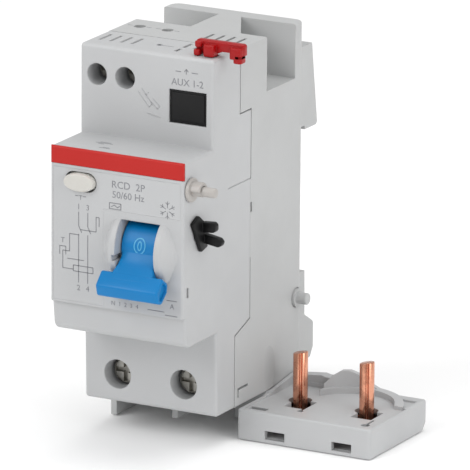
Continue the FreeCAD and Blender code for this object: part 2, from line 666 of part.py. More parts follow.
def trip_fork():
    body = piece("trip_fork")
    root = [(-56.2, 7.4), (-53.2, 8.8), (-51.4, 7.4), (-50.4, 6.9), (-49.1, 0.6), (-52.1, -0.1)]
    prism(body, "x", root, (HALF + 0.1, HALF + 1.1))
    rod(body, "x", (-FORK_DEPTH, FORK_Z), FORK_R, (12.9, HALF + 0.5))
    prism(body, "z", [(HALF + 0.6, -51.8), (HALF + 4.9, -51.4), (HALF + 5.2, -50.9), (HALF + 4.9, -49.8),
                      (HALF + 0.6, -49.9)], (4.8, 6.9))
    prism(body, "z", [(HALF + 0.6, -50.9), (HALF + 5.6, -50.3), (HALF + 6.2, -49.6), (HALF + 5.6, -48.9),
                      (HALF + 0.6, -49.3)], (1.0, 3.2))
    return body


def trip_lever():
    body = piece("trip_lever")
    rod(body, "x", (-FORK_DEPTH, FORK_Z), FORK_R + 1, (13.1, 14.9))
    block(body, (13.1, 14.9), (-52, -40), (FORK_Z + 0.2, FORK_Z + 2.2))
    block(body, (13.1, 14.9), (-42, -40), (2.0, FORK_Z + 2.2))
    rod(body, "x", (-FORK_DEPTH, FORK_Z), FORK_R, (13, 15), cut=True)
    return body


def locking_slider():
    """A thin bar with a finger grip at the left and a hook at the right; its foot slides in the cover's slot."""
    body = piece("locking_slider")
    low = TOP + 0.15
    high = TOP + 3.7
    block(body, (SLIDER_LEFT, SLIDER_RIGHT), (-41.6, -39.8), (TOP + 0.9, high))
    block(body, (SLIDER_LEFT, 16.9), (-42.5, -40.4), (low, high - 0.5))
    block(body, (21.3, SLIDER_RIGHT), (-42.2, -39.8), (TOP - 0.3, high))
    block(body, (13.6, 14.2), (-43, -41.9), (TOP, TOP + 5), cut=True)
    foot = (14.95, 15.7)
    block(body, foot, (-41.1, -39.9), (41.2, TOP + 1.6))
    block(body, foot, (-42.2, -38.4), (40.9, 41.7))
    return body


# ---------------------------------------------------------------- terminals

def terminal(prefix, side, x, z, head, shank, cage, plate):
    """A terminal screw, the cage that it lifts and the fixed plate that it clamps the wire to."""
    head_r, head_y = head
    shank_r, shank_y = shank
    screw = piece("%s_screw_%s" % (prefix, side))
    rod(screw, "y", (x, z), head_r, head_y)
    rod(screw, "y", (x, z), shank_r, shank_y)
    slot = head_r * 0.16
    deep = (head_y[0] - 1, head_y[0] + 1.2)
    for half_across, half_up in ((slot, head_r * 0.8), (head_r * 0.6, slot)):
        block(screw, (x - half_across, x + half_across), deep, (z - half_up, z + half_up), cut=True)
    half_x, half_z, front, rear, front_wall, wall = cage
    lift = piece("%s_cage_%s" % (prefix, side))
    block(lift, (x - half_x, x + half_x), (front, rear), (z - half_z, z + half_z))
    inside = (x - half_x + wall, x + half_x - wall)
    block(lift, inside, (front + front_wall, rear - wall), (z - half_z - 1, z + half_z + 1), cut=True)
    rod(lift, "y", (x, z), shank_r + RUN, (front - 1, front + front_wall + 0.5), cut=True)
    bar = piece("%s_plate_%s" % (prefix, side))
    plate_half, plate_y, plate_z = plate
    block(bar, (x - plate_half, x + plate_half), plate_y, plate_z)


def terminals():
    for side, x in (("left", -LOAD_X), ("right", LOAD_X)):
        terminal("load", side, x, -LOAD_DROP, (3.2, LOAD_HEAD), (2.5, (-35.8, -27.0)),
                 (4.7, 5.0, -30.0, -18.6, 2.4, 1.2), (3.3, (-26.9, -26.0), (-LOAD_DROP - 4.6, -28.4)))
    for side, x in (("left", AUX_X), ("right", AUX_X + AUX_PITCH)):
        terminal("aux", side, x, AUX_Z, (2.3, AUX_HEAD), (1.5, (-38.8, -31.3)),
                 (2.7, 2.9, -33.4, -22.4, 1.8, 0.8), (1.7, (-31.2, -30.5), (24, AUX_Z + 2.8)))


# ---------------------------------------------------------------- inside

def relay():
    case = piece("relay_case")
    block(case, (2.6, 14.9), (-44, -28), (-16, -3))
    block(case, (3.8, 12.0), (-42.8, -27), (-14.8, -4.2), cut=True)
    rod(case, "z", (14.0 - 0.2, -41), 0.85, (-12, -2), cut=True)
    coil_body = piece("relay_coil")
    rod(coil_body, "y", (7.9, -9.5), 4.0, (-41, -30))
    rod(coil_body, "y", (7.9, -9.5), 2.0, (-42.6, -28.5))
    plunger = piece("relay_plunger")
    rod(plunger, "z", (13.8, -41), 0.8, (-11.5, 1.95))


def ring(centre_x, centre_z, outer, inner, low, high):
    """A ring about a Y axis, between two depths."""
    start = V(centre_x, low, centre_z)
    along = V(0, 1, 0)
    return Part.makeCylinder(outer, high - low, start, along).cut(Part.makeCylinder(inner, high - low, start, along))


def winding():
    """The secondary winding: the toroid's outer shape, hollow where the core sits."""
    shell = ring(0, -8, 11.8, 5.7, -21.4, -12.6)
    return own_shape("toroid_winding", shell.cut(ring(0, -8, 10.65, 6.85, -20.25, -13.75)))


def toroid_core():
    return own_shape("toroid_core", ring(0, -8, 10.6, 6.9, -20.2, -13.8))


WIRE_END = -41.3


def conductors():
    own_shape("conductor_left", wire_tube(
        [(-LOAD_X, -24.3, -28.6), (-LOAD_X, -24.3, -19), (-2, -25, -8), (-2, -8.6, -8), (3, -8.6, -20),
         (11.6, -12.0, -33), (11.6, -12.0, WIRE_END)], 1.5, 1.8))
    own_shape("conductor_right", wire_tube(
        [(LOAD_X, -24.3, -28.6), (LOAD_X, -24.3, -19), (2, -25, -8), (2, -7.1, -8), (7, -7.1, -18),
         (13.2, -8.4, -28), (13.2, -8.4, WIRE_END)], 1.5, 1.8))


def circuit_board():
    body = piece("circuit_board")
    block(body, (-15.2, -13.8), (-46, -24), (-18, 8))
    parts = piece("board_components")
    rod(parts, "x", (-40, -10), 2.8, (-13.8, -8))
    rod(parts, "x", (-33, -11), 1.6, (-13.8, -10.5))
    for y in (-44, -41, -38):
        block(parts, (-13.8, -12.2), (y - 0.8, y + 0.8), (0, 5))
    block(parts, (-13.8, -11.8), (-34, -27), (-3, 4))
    resistor = piece("test_resistor")
    rod(resistor, "z", (-9.5, -46.5), 1.3, (1, 9))
    rod(resistor, "z", (-9.5, -46.5), 0.35, (-1.5, 11.5))


def springs():
    coil_spring("test_spring", (BUTTON_X, CAP_FACE + 3.05, BUTTON_Z), "y", 1.7, 0.2, 4.9, 6)
    coil_spring("toggle_spring", (TOGGLE_X - DRUM_HALF + 0.5, -TOGGLE_DEPTH, 0), "x", 2.4, 0.3, 2.0, 2.5)
    coil_spring("clip_spring", (0, -2.35, -37.7), "z", 0.85, 0.22, 10.8, 9)


# ---------------------------------------------------------------- tray, pins and rail clip

TRAY_X = (HALF, HALF + 2 * 17.5)


def tray():
    body = piece("tray")
    block(body, TRAY_X, (-TRAY_FRONT, -TRAY_BACK), (-TRAY_LOW, -TRAY_TOP))
    round_edges(body, 0.8, lambda p, t: abs(t.z) > 0.99)
    round_edges(body, 0.5, lambda p, t: near(p.z, -TRAY_LOW) or near(p.z, -TRAY_TOP))
    prism(body, "x", [(-6.9, -51), (-3, -51), (-3, -46.6)], (HALF + 2, HALF + 36), cut=True)
    block(body, (9.4, HALF + 2), (-18.4, -4.7), (-TRAY_LOW + 0.2, -BASE_DROP))
    block(body, (HALF + 1.3, TRAY_X[1] - 1.3), (-31.2, -7.2), (-51, -TRAY_TOP - 1.7), cut=True)
    block(body, (10.6, HALF + 2), (-17.2, -5.9), (-51, -TRAY_TOP - 1.7), cut=True)
    block(body, (9.9, 15.7), (-17.4, -5.7), (-46, -41), cut=True)
    block(body, (HALF + 1.1, TRAY_X[1] - 1.1), (-31.5, -6.6), (-TRAY_TOP - 0.5, -41), cut=True)
    crescent(body)
    for i, key_x, key_y, key_r in ((0, 5.2, -25.4, 0.75), (1, 6.2, -28.0, 1.1)):
        x = MODULE * i + 26.25
        rod(body, "z", (x, -PIN_DEPTH), PIN_R + 1, (-46, -41), cut=True)
        block(body, (x - 1.0, x + 4.4), (-23.8, -17.4), (-46, -41), cut=True)
        block(body, (x + key_x - 1.4, x + key_x - 0.8), (key_y, -23.7), (-46, -41), cut=True)
        rod(body, "z", (x + key_x - 1.0, key_y), key_r, (-46, -41), cut=True)
        block(body, (x - 1.4, x + 3.8), (-34, -31), (-TRAY_LOW + 1.0, -TRAY_LOW + 3.1), cut=True)
    block(body, (18.8, 23.4), (-29.4, -27.6), (-46, -41), cut=True)
    block(body, (25.0, 29.6), (-31.0, -29.9), (-44.6, -41), cut=True)
    block(body, (43.9, 48.8), (-31.9, -30.9), (-44.6, -41), cut=True)
    return body


def crescent(body):
    """The raised back edge of the tray, the curved guard behind the right pin and the rib along the housing."""
    centre = (38.5, -16.9)
    level = -TRAY_TOP - 0.5
    above = -37
    rod(body, "z", centre, 13.1, (level - 0.6, -38.0))
    rod(body, "z", centre, 10.9, (level, above), cut=True)
    rod(body, "z", centre, 11.9, (-41.9, above), cut=True)
    block(body, (24, 52), (-31, -13.4), (level, above), cut=True)
    block(body, (24, 28.6), (-31, -3), (level, above), cut=True)
    prism(body, "y", [(28, -41.2), (28.9, -40.6), (30.2, -39.0), (31.5, -38.1), (33.2, -38.1), (35.3, -38.9),
                      (37, -40.2), (38.6, -41.2), (40.4, -41.9), (46.5, -42.0), (50.2, -42.5), (54, -42.6),
                      (54, above), (28, above)], (-16, -3), cut=True)
    prism(body, "y", [(18.6, -43.6), (18.6, -41.2), (21.4, -40.7), (26.0, -40.2), (27.3, -40.5), (30.5, -40.4),
                      (30.5, -43.6)], (-6.5, -3.75))
    prism(body, "x", [(-20, -43.6), (-20, -42.8), (-6.5, -41.0), (-3.75, -41.0), (-3.75, -43.6)], (17.7, 18.7))
    block(body, (22.3, 32.5), (-6.6, -3.75), (level - 0.4, level + 1.1))


def tray_floor():
    body = piece("tray_floor")
    block(body, (HALF + 1.35, TRAY_X[1] - 1.35), (-31.15, -7.25), (-TRAY_LOW + 0.05, -TRAY_LOW + 1.1))
    block(body, (10.65, HALF + 2), (-17.15, -7.25), (-TRAY_LOW + 0.25, -TRAY_LOW + 1.1))
    return body


def copper_pins():
    view = math.radians(28)
    for side, i, strip_y, riser_x in (
            ("left", 0, (-13.4, -11.0), (10.8, 12.6)),
            ("right", 1, (-9.6, -7.4), (12.4, 14.2))):
        body = piece("copper_pin_" + side)
        x = number(MODULE) * i + 26.25
        rod(body, "z", (x, -PIN_DEPTH), PIN_R, (-47.6, -PIN_TOP))
        round_edges(body, 0.3, lambda p, t: near(p.z, -PIN_TOP))
        corners = []
        for out, across in ((0.95, -0.32), (2.6, -0.32), (2.6, 0.32), (0.95, 0.32)):
            corners.append((x + out * math.sin(view) + across * math.cos(view),
                            -PIN_DEPTH - out * math.cos(view) + across * math.sin(view)))
        prism(body, "z", corners, (-44, -30), cut=True)
        block(body, (x - 2, x + 2), (-19.5, strip_y[1]), (-48.6, -47.4))
        block(body, (riser_x[0], x + 2), strip_y, (-48.6, -47.4))
        block(body, riser_x, strip_y, (-48.6, WIRE_END))


def din_clip():
    body = piece("din_clip")
    lip_top = -RAIL_HALF + LIP
    block(body, (-7.5, 7.5), (-3.35, -1.35), (-44, -17.9))
    block(body, (-5.8, 5.8), (-1.4, -0.6), (-44, -17.9))
    block(body, (-5.8, 5.8), (-3.35, 3.4), (-21, -RAIL_HALF - 0.1))
    prism(body, "x", [(1.35, -18), (3.4, -18), (3.4, lip_top - 0.4), (1.9, lip_top), (1.35, lip_top)], (-5.8, 5.8))
    block(body, (-5, 5), (-3.35, -0.6), (-48.6, -43))
    block(body, (-1.7, 1.7), (-4, 0), (-40.6, -26.6), cut=True)
    block(body, (-2.4, 2.4), (-4, 0), (-47.4, -46), cut=True)
    return body


# ---------------------------------------------------------------- building and writing

def build():
    for make in (front_cover, rear_base, red_strip, label_plate, window_insert, side_rivets, toggle, toggle_axle,
                 test_button, test_contacts, link_pin, link_retainer, trip_fork, trip_lever, locking_slider,
                 terminals, relay, toroid_core, winding, conductors, circuit_board, springs, tray, tray_floor,
                 copper_pins, din_clip):
        make()
    doc.recompute()
    check_steps()
    for obj in doc.Objects:
        if "Invalid" in obj.State or "Error" in obj.State:
            raise RuntimeError("%s failed" % obj.Label)
    for made in PIECES:
        if made.Shape.isNull() or not made.Shape.isValid():
            raise RuntimeError("%s has no valid shape" % made.Label)


def write():
    os.makedirs("parts", exist_ok=True)
    for made in PIECES:
        made.Shape.exportStep(os.path.join("parts", made.Label + ".step"))
        print("%-18s %9.2f mm3  %d solid(s)" % (made.Label, made.Shape.Volume, len(made.Shape.Solids)))


build()
write()
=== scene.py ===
"""Looks of the add-on residual current device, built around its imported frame. Metres, +Z up, front at -Y."""
import json
import math

import bmesh
import bpy
from mathutils import Matrix, Vector


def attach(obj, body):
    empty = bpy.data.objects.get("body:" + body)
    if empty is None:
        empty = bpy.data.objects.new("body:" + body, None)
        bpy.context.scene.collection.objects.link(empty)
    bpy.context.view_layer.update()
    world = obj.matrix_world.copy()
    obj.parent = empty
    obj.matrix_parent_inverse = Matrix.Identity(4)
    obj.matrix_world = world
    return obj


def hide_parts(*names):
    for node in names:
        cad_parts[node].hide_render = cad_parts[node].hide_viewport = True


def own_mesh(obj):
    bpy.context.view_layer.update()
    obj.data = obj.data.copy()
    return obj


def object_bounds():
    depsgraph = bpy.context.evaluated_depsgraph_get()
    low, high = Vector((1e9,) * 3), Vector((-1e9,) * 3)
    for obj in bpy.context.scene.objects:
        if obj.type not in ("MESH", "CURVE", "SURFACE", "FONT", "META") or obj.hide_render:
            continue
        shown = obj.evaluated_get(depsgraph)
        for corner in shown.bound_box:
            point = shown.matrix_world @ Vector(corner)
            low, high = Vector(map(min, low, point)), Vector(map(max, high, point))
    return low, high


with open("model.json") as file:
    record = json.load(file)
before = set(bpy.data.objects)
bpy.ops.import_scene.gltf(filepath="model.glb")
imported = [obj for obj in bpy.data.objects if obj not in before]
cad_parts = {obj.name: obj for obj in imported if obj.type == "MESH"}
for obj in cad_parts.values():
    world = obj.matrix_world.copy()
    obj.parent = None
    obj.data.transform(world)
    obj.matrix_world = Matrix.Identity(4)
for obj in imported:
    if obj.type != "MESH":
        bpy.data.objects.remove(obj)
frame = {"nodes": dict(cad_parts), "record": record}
cad_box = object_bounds()

MM = 0.001
CAP_FACE = -59.0
UPPER_FACE = -45.0
SIDE = 17.5
TOP = 43.5
CAP_TOP = 22.25
TOGGLE_AXIS = (-53.0, 0.0)
TOGGLE_X = 6.3
TOGGLE_REST = math.radians(35)
BUTTON = (-9.5, 14.5)
LINK_AXIS = (17.5, -55.8, 15.5)
FORK_AXIS = (17.5, -52.0, 4.2)
SHARP = math.radians(28)
FILM = 0.03
LENS = 609
CAMERA_PLACE = Vector((0.85717, -1.59613, 0.49211))
CAMERA_AIM = Vector((0.0118, -0.0235, -0.0038))
CAMERA_ROLL = math.radians(0.41)
FLOOR_RADIUS = 6
FLOOR_WHITE = 0.985


# ---------------------------------------------------------------- camera and light

def place_camera():
    """A long lens from the front right, a little above."""
    data = bpy.data.cameras.new("camera")
    data.lens = LENS
    data.sensor_width = 36
    data.clip_start = 0.1
    data.clip_end = 50
    camera = bpy.data.objects.new("camera", data)
    bpy.context.scene.collection.objects.link(camera)
    turn = (CAMERA_AIM - CAMERA_PLACE).to_track_quat("-Z", "Y").to_matrix().to_4x4()
    camera.matrix_world = Matrix.Translation(CAMERA_PLACE) @ turn @ Matrix.Rotation(CAMERA_ROLL, 4, "Z")
    bpy.context.scene.camera = camera


def softbox(name, place, width, height, watts, aim=(0.01, -0.02, 0)):
    """A rectangular light that faces the part."""
    data = bpy.data.lights.new(name, "AREA")
    data.shape = "RECTANGLE"
    data.size = width
    data.size_y = height
    data.energy = watts
    light = bpy.data.objects.new(name, data)
    light.location = place
    light.rotation_euler = (Vector(aim) - Vector(place)).to_track_quat("-Z", "Y").to_euler()
    bpy.context.scene.collection.objects.link(light)


def light_studio():
    """An even white surround with a key, a side light and one from above."""
    world = bpy.data.worlds.new("studio")
    world.use_nodes = True
    sky = world.node_tree.nodes["Background"]
    sky.inputs["Color"].default_value = (1, 1, 1, 1)
    sky.inputs["Strength"].default_value = 0.6
    bpy.context.scene.world = world
    softbox("key", (-0.55, -0.95, 0.75), 0.7, 0.7, 6.2)
    softbox("side", (1.1, -0.35, 0.35), 0.6, 0.8, 4.0)
    softbox("overhead", (0.1, 0.1, 1.2), 0.9, 0.9, 6)
    bpy.context.scene.view_settings.view_transform = "Standard"


def lay_floor():
    """A matt white floor just under the part."""
    mesh = bpy.data.meshes.new("floor")
    bm = bmesh.new()
    bmesh.ops.create_circle(bm, cap_ends=True, segments=96, radius=FLOOR_RADIUS)
    bmesh.ops.translate(bm, verts=bm.verts, vec=(0, 0, cad_box[0][2] - 0.0001))
    bm.to_mesh(mesh)
    bm.free()
    floor = bpy.data.objects.new("floor", mesh)
    bpy.context.scene.collection.objects.link(floor)
    matt = bpy.data.materials.new("floor")
    matt.use_nodes = True
    shader = matt.node_tree.nodes["Principled BSDF"]
    shader.inputs["Base Color"].default_value = (FLOOR_WHITE, FLOOR_WHITE, FLOOR_WHITE, 1)
    shader.inputs["Roughness"].default_value = 1.0
    shader.inputs["Specular IOR Level"].default_value = 0.0
    floor.data.materials.append(matt)


# ---------------------------------------------------------------- materials

def group(name, inputs, outputs):
    """An empty shader group with named inputs and outputs; inputs give their default values."""
    tree = bpy.data.node_groups.new(name, "ShaderNodeTree")
    for title, value in inputs:
        made = tree.interface.new_socket(name=title, in_out="INPUT", socket_type="NodeSocketFloat")
        made.default_value = value
    for title, kind in outputs:
        tree.interface.new_socket(name=title, in_out="OUTPUT", socket_type=kind)
    return tree, tree.nodes.new("NodeGroupInput"), tree.nodes.new("NodeGroupOutput")


def add(tree, kind, **settings):
    """A shader node with the given settings."""
    node = tree.nodes.new("ShaderNode" + kind)
    for key, value in settings.items():
        setattr(node, key, value)
    return node


def noise(tree, coordinates, scale, detail=2.0, rough=0.5):
    """The value of a noise texture whose scale is a number or a socket."""
    node = add(tree, "TexNoise")
    node.inputs["Detail"].default_value = detail
    node.inputs["Roughness"].default_value = rough
    if isinstance(scale, (int, float)):
        node.inputs["Scale"].default_value = scale
    else:
        tree.links.new(scale, node.inputs["Scale"])
    tree.links.new(coordinates, node.inputs["Vector"])
    return node.outputs["Fac"]


def sums(tree, operation, first, second, clamp=False):
    """A math node on two values, each a number or a socket."""
    node = add(tree, "Math", operation=operation, use_clamp=clamp)
    for socket, value in ((node.inputs[0], first), (node.inputs[1], second)):
        if isinstance(value, (int, float)):
            socket.default_value = value
        else:
            tree.links.new(value, socket)
    return node.outputs[0]


def spread(tree, value, low, high, out_low, out_high):
    """Maps one range of values to another."""
    node = add(tree, "MapRange")
    for title, number in (("From Min", low), ("From Max", high), ("To Min", out_low), ("To Max", out_high)):
        node.inputs[title].default_value = number
    tree.links.new(value, node.inputs["Value"])
    return node.outputs["Result"]


def make_grain_group():
    """Spark-eroded moulding grain: fine height, a slow change of shade and a change of gloss."""
    tree, given, result = group("moulded grain", [("Grain per metre", 5200.0)], [
        ("Height", "NodeSocketFloat"), ("Shade", "NodeSocketFloat"), ("Gloss", "NodeSocketFloat")])
    where = add(tree, "TexCoord").outputs["Object"]
    fine = noise(tree, where, given.outputs[0], 3.0, 0.6)
    slow = noise(tree, where, 38.0, 2.0)
    patchy = noise(tree, where, 260.0, 3.0)
    tree.links.new(fine, result.inputs["Height"])
    tree.links.new(spread(tree, slow, 0.3, 0.7, 0.0, 1.0), result.inputs["Shade"])
    tree.links.new(spread(tree, patchy, 0.3, 0.7, -0.5, 0.5), result.inputs["Gloss"])
    return tree


def make_edge_group():
    """Rounded edges: the softened normal, and a mask that is 1 along rounded outer edges, where a painted
    highlight goes.
    """
    tree, given, result = group("edges", [("Radius", 0.0002)], [
        ("Normal", "NodeSocketVector"), ("Edge highlight", "NodeSocketFloat")])
    round_off = add(tree, "Bevel", samples=4)
    tree.links.new(given.outputs[0], round_off.inputs["Radius"])
    flat = add(tree, "NewGeometry")
    dot = add(tree, "VectorMath", operation="DOT_PRODUCT")
    tree.links.new(round_off.outputs["Normal"], dot.inputs[0])
    tree.links.new(flat.outputs["Normal"], dot.inputs[1])
    tree.links.new(round_off.outputs["Normal"], result.inputs["Normal"])
    tree.links.new(spread(tree, dot.outputs["Value"], 0.995, 0.8, 0.0, 1.0), result.inputs["Edge highlight"])
    return tree


def make_scratch_group():
    """Fine scratches and drawn lines along one direction, chosen by the stretch of the coordinates."""
    tree, given, result = group("drawn lines", [("Across", 9000.0), ("Along", 60.0)], [
        ("Height", "NodeSocketFloat"), ("Stain", "NodeSocketFloat")])
    where = add(tree, "TexCoord").outputs["Object"]
    apart = add(tree, "SeparateXYZ")
    tree.links.new(where, apart.inputs[0])
    stretched = add(tree, "CombineXYZ")
    for i, title in ((0, "Across"), (1, "Across"), (2, "Along")):
        tree.links.new(sums(tree, "MULTIPLY", apart.outputs[i], given.outputs[title]), stretched.inputs[i])
    tree.links.new(noise(tree, stretched.outputs[0], 1.0, 3.0), result.inputs["Height"])
    patches = noise(tree, where, 420.0, 4.0, 0.62)
    tree.links.new(spread(tree, patches, 0.45, 0.75, 0.0, 1.0), result.inputs["Stain"])
    return tree


GRAIN = make_grain_group()
EDGES = make_edge_group()
LINES = make_scratch_group()


def placed(tree, kind, **values):
    """One of the groups above, in a material's tree."""
    node = add(tree, "Group")
    node.node_tree = kind
    for title, value in values.items():
        node.inputs[title.replace("_", " ")].default_value = value
    return node


def mixed(tree, amount, first, second):
    """A colour between two, by a mask."""
    node = add(tree, "Mix", data_type="RGBA")
    for socket, value in ((node.inputs["Factor"], amount), (node.inputs[6], first), (node.inputs[7], second)):
        if isinstance(value, (tuple, list)):
            socket.default_value = (*value, 1)
        elif isinstance(value, (int, float)):
            socket.default_value = value
        else:
            tree.links.new(value, socket)
    return node.outputs[2]


def shade(colour, factor):
    """A lighter or darker colour."""
    return tuple(min(1.0, c * factor) for c in colour)


def linear(red, green, blue):
    """A display colour from 0 to 255, as the shader's linear values."""
    def one(c):
        c /= 255
        return c / 12.92 if c <= 0.04045 else ((c + 0.055) / 1.055) ** 2.4
    return tuple(one(c) for c in (red, green, blue))


def plastic(name, colour, roughness, grain=0.35, radius=0.00022, edge_highlight=0.25, varied=0.04, scatter=0.0,
            specular=0.5):
    """Moulded plastic: eroded grain, a slow change of shade, and rounded outer edges painted lighter as a
    painted highlight.
    """
    material = bpy.data.materials.new(name)
    material.use_nodes = True
    tree = material.node_tree
    shader = tree.nodes["Principled BSDF"]
    texture = placed(tree, GRAIN)
    edge = placed(tree, EDGES, Radius=radius)
    body = mixed(tree, texture.outputs["Shade"], shade(colour, 1 - varied), shade(colour, 1 + varied))
    # Painted highlight: the rounded outer edges are mixed towards a colour 1.35 times lighter.
    highlighted_edges = sums(tree, "MULTIPLY", edge.outputs["Edge highlight"], edge_highlight)
    tree.links.new(mixed(tree, highlighted_edges, body, shade(colour, 1.35)), shader.inputs["Base Color"])
    uneven = sums(tree, "MULTIPLY", texture.outputs["Gloss"], 0.12)
    tree.links.new(sums(tree, "ADD", uneven, roughness, True), shader.inputs["Roughness"])
    bump = add(tree, "Bump")
    bump.inputs["Strength"].default_value = grain
    bump.inputs["Distance"].default_value = 0.00003
    tree.links.new(texture.outputs["Height"], bump.inputs["Height"])
    tree.links.new(edge.outputs["Normal"], bump.inputs["Normal"])
    tree.links.new(bump.outputs["Normal"], shader.inputs["Normal"])
    shader.inputs["Specular IOR Level"].default_value = specular
    if scatter:
        shader.inputs["Subsurface Weight"].default_value = scatter
        shader.inputs["Subsurface Scale"].default_value = 0.0012
        shader.inputs["Subsurface Radius"].default_value = (1.0, 0.9, 0.8)
    return material


def metal(name, colour, roughness, stain, stained=0.35, lines=0.3, radius=0.00012):
    """Drawn or plated metal: lines from the die, and patches of darker tarnish."""
    material = bpy.data.materials.new(name)
    material.use_nodes = True
    tree = material.node_tree
    shader = tree.nodes["Principled BSDF"]
    shader.inputs["Metallic"].default_value = 1.0
    texture = placed(tree, LINES)
    edge = placed(tree, EDGES, Radius=radius)
    dull = sums(tree, "MULTIPLY", texture.outputs["Stain"], stained)
    tree.links.new(mixed(tree, dull, colour, stain), shader.inputs["Base Color"])
    rougher = sums(tree, "MULTIPLY", texture.outputs["Stain"], 0.2)
    tree.links.new(sums(tree, "ADD", rougher, roughness, True), shader.inputs["Roughness"])
    bump = add(tree, "Bump")
    bump.inputs["Strength"].default_value = lines
    bump.inputs["Distance"].default_value = 0.00002
    tree.links.new(texture.outputs["Height"], bump.inputs["Height"])
    tree.links.new(edge.outputs["Normal"], bump.inputs["Normal"])
    tree.links.new(bump.outputs["Normal"], shader.inputs["Normal"])
    return material


BODY_GREY = linear(181, 182, 183)
# The edge_highlight amounts set how strongly each finish's rounded edges are lightened with a painted
# highlight.
FINISHES = {
    "cover_grey": plastic("cover grey", BODY_GREY, 0.46, radius=0.00045, scatter=0.08),
    "base_grey": plastic("base grey", linear(180, 181, 181), 0.48, scatter=0.08),
    "tray_grey": plastic("tray grey", linear(183, 184, 185), 0.46, scatter=0.08),
    "label_grey": plastic("label film", linear(182, 183, 184), 0.4, grain=0.12, radius=0.00004),
    "strip_red": plastic("strip red", linear(180, 28, 22), 0.42, grain=0.15, edge_highlight=0.2, specular=0.3),
    "slider_red": plastic("slider red", linear(158, 6, 10), 0.34, grain=0.2, specular=0.3),
    "toggle_blue": plastic("toggle blue", linear(0, 117, 180), 0.36, grain=0.1, edge_highlight=0.3,
                           specular=0.3),
    "button_ivory": plastic("button ivory", linear(198, 196, 190), 0.34, grain=0.12, scatter=0.2),
    "link_ivory": plastic("link ivory", linear(170, 166, 162), 0.38, grain=0.15, scatter=0.15),
    "insert_black": plastic("insert black", linear(20, 20, 21), 0.5, grain=0.3, edge_highlight=0.12, specular=0.25),
    "fork_black": plastic("fork black", linear(14, 14, 15), 0.45, grain=0.3, edge_highlight=0.15, specular=0.25),
    "clip_grey": plastic("clip grey", linear(150, 152, 153), 0.5, grain=0.35),
    "relay_plastic": plastic("relay plastic", linear(60, 60, 64), 0.45),
    "board_green": plastic("board green", linear(30, 92, 58), 0.3, grain=0.1),
    "component_black": plastic("component black", linear(38, 38, 40), 0.4),
    "wire_blue": plastic("wire blue", linear(40, 84, 160), 0.4),
    "wire_brown": plastic("wire brown", linear(96, 62, 44), 0.4),
    "axle_steel": metal("axle steel", linear(180, 180, 182), 0.25, linear(120, 118, 116)),
    "spring_steel": metal("spring steel", linear(172, 174, 178), 0.28, linear(110, 108, 104)),
    "spring_bronze": metal("spring bronze", linear(196, 148, 96), 0.3, linear(120, 86, 56)),
    "coil_copper": metal("coil copper", linear(190, 110, 72), 0.3, linear(120, 64, 42)),
    "core_iron": metal("core iron", linear(104, 104, 108), 0.5, linear(60, 58, 56)),
    "pin_copper": metal("pin copper", linear(222, 158, 130), 0.2, linear(128, 74, 54), stained=0.25,
                        lines=0.35),
    "screw_steel": metal("screw steel", linear(168, 166, 160), 0.34, linear(104, 98, 88)),
    "cage_steel": metal("cage steel", linear(112, 110, 106), 0.4, linear(70, 66, 60)),
    "plate_brass": metal("plate brass", linear(196, 166, 104), 0.3, linear(120, 96, 56)),
}
FINISHES["mark_pale"] = plastic("pale mark", linear(84, 172, 214), 0.4, grain=0.1)
FINISHES["ink"] = plastic("grey ink", linear(138, 139, 143), 0.5, grain=0.1, edge_highlight=0.0)
SLOT_OF = {part["node"]: part["material_slot"] for part in frame["record"]["subparts"]}


def finish_nodes():
    """Every CAD node that stays in view gets its own finish."""
    for name, node in frame["nodes"].items():
        node.data.materials.clear()
        node.data.materials.append(FINISHES[SLOT_OF[name]])


# ---------------------------------------------------------------- shaping tools, in millimetres

def ring(bm, points, closed=True):
    """A line of edges through points."""
    verts = [bm.verts.new(point) for point in points]
    first = 0 if closed else 1
    return [bm.edges.new((verts[i - 1], verts[i])) for i in range(first, len(verts))]


def loft(bm, rings):
    """A skin through rings of points, capped at both ends."""
    loops = [ring(bm, points) for points in rings]
    for first, second in zip(loops, loops[1:]):
        bmesh.ops.bridge_loops(bm, edges=first + second)
    for end in (loops[0], loops[-1]):
        bmesh.ops.edgeloop_fill(bm, edges=end)


def slab(bm, axis, outline, low, high):
    """An outline across an axis, drawn out along it; the outline's pairs keep the order x, y, z."""
    rings = []
    for depth in (low, high):
        points = [list(pair) for pair in outline]
        for point in points:
            point.insert(axis, depth)
        rings.append(points)
    loft(bm, rings)


def box(bm, low, high):
    """A block between two corners."""
    outline = [(low[1], low[2]), (high[1], low[2]), (high[1], high[2]), (low[1], high[2])]
    slab(bm, 0, outline, low[0], high[0])


def turned(bm, axis, centre, profile, steps=48, sweep=math.tau, start=0.0):
    """A profile of pairs, place along the axis and radius, spun about it; the ends meet on the axis."""
    across = (axis + 1) % 3
    direction = Vector([1.0 if i == axis else 0.0 for i in range(3)])
    points = []
    for place, radius in profile:
        offset = Vector((0, 0, 0))
        offset[across] = radius
        offset.rotate(Matrix.Rotation(start, 3, direction))
        offset[axis] = place
        points.append(Vector(centre) + offset)
    edges = ring(bm, points, closed=profile[0][1] > 0)
    verts = list({vert for edge in edges for vert in edge.verts})
    whole = sweep > math.tau - 0.001
    made = bmesh.ops.spin(bm, geom=verts + edges, cent=centre, axis=direction, dvec=(0, 0, 0),
                          angle=sweep, steps=steps, use_merge=whole)
    if not whole:
        last = [part for part in made["geom_last"] if isinstance(part, bmesh.types.BMEdge)]
        for end in (edges, last):
            bmesh.ops.edgeloop_fill(bm, edges=end)
    bmesh.ops.remove_doubles(bm, verts=bm.verts, dist=0.0005)


def span(edge, axis):
    """How far an edge reaches along an axis."""
    return abs(edge.verts[0].co[axis] - edge.verts[1].co[axis])


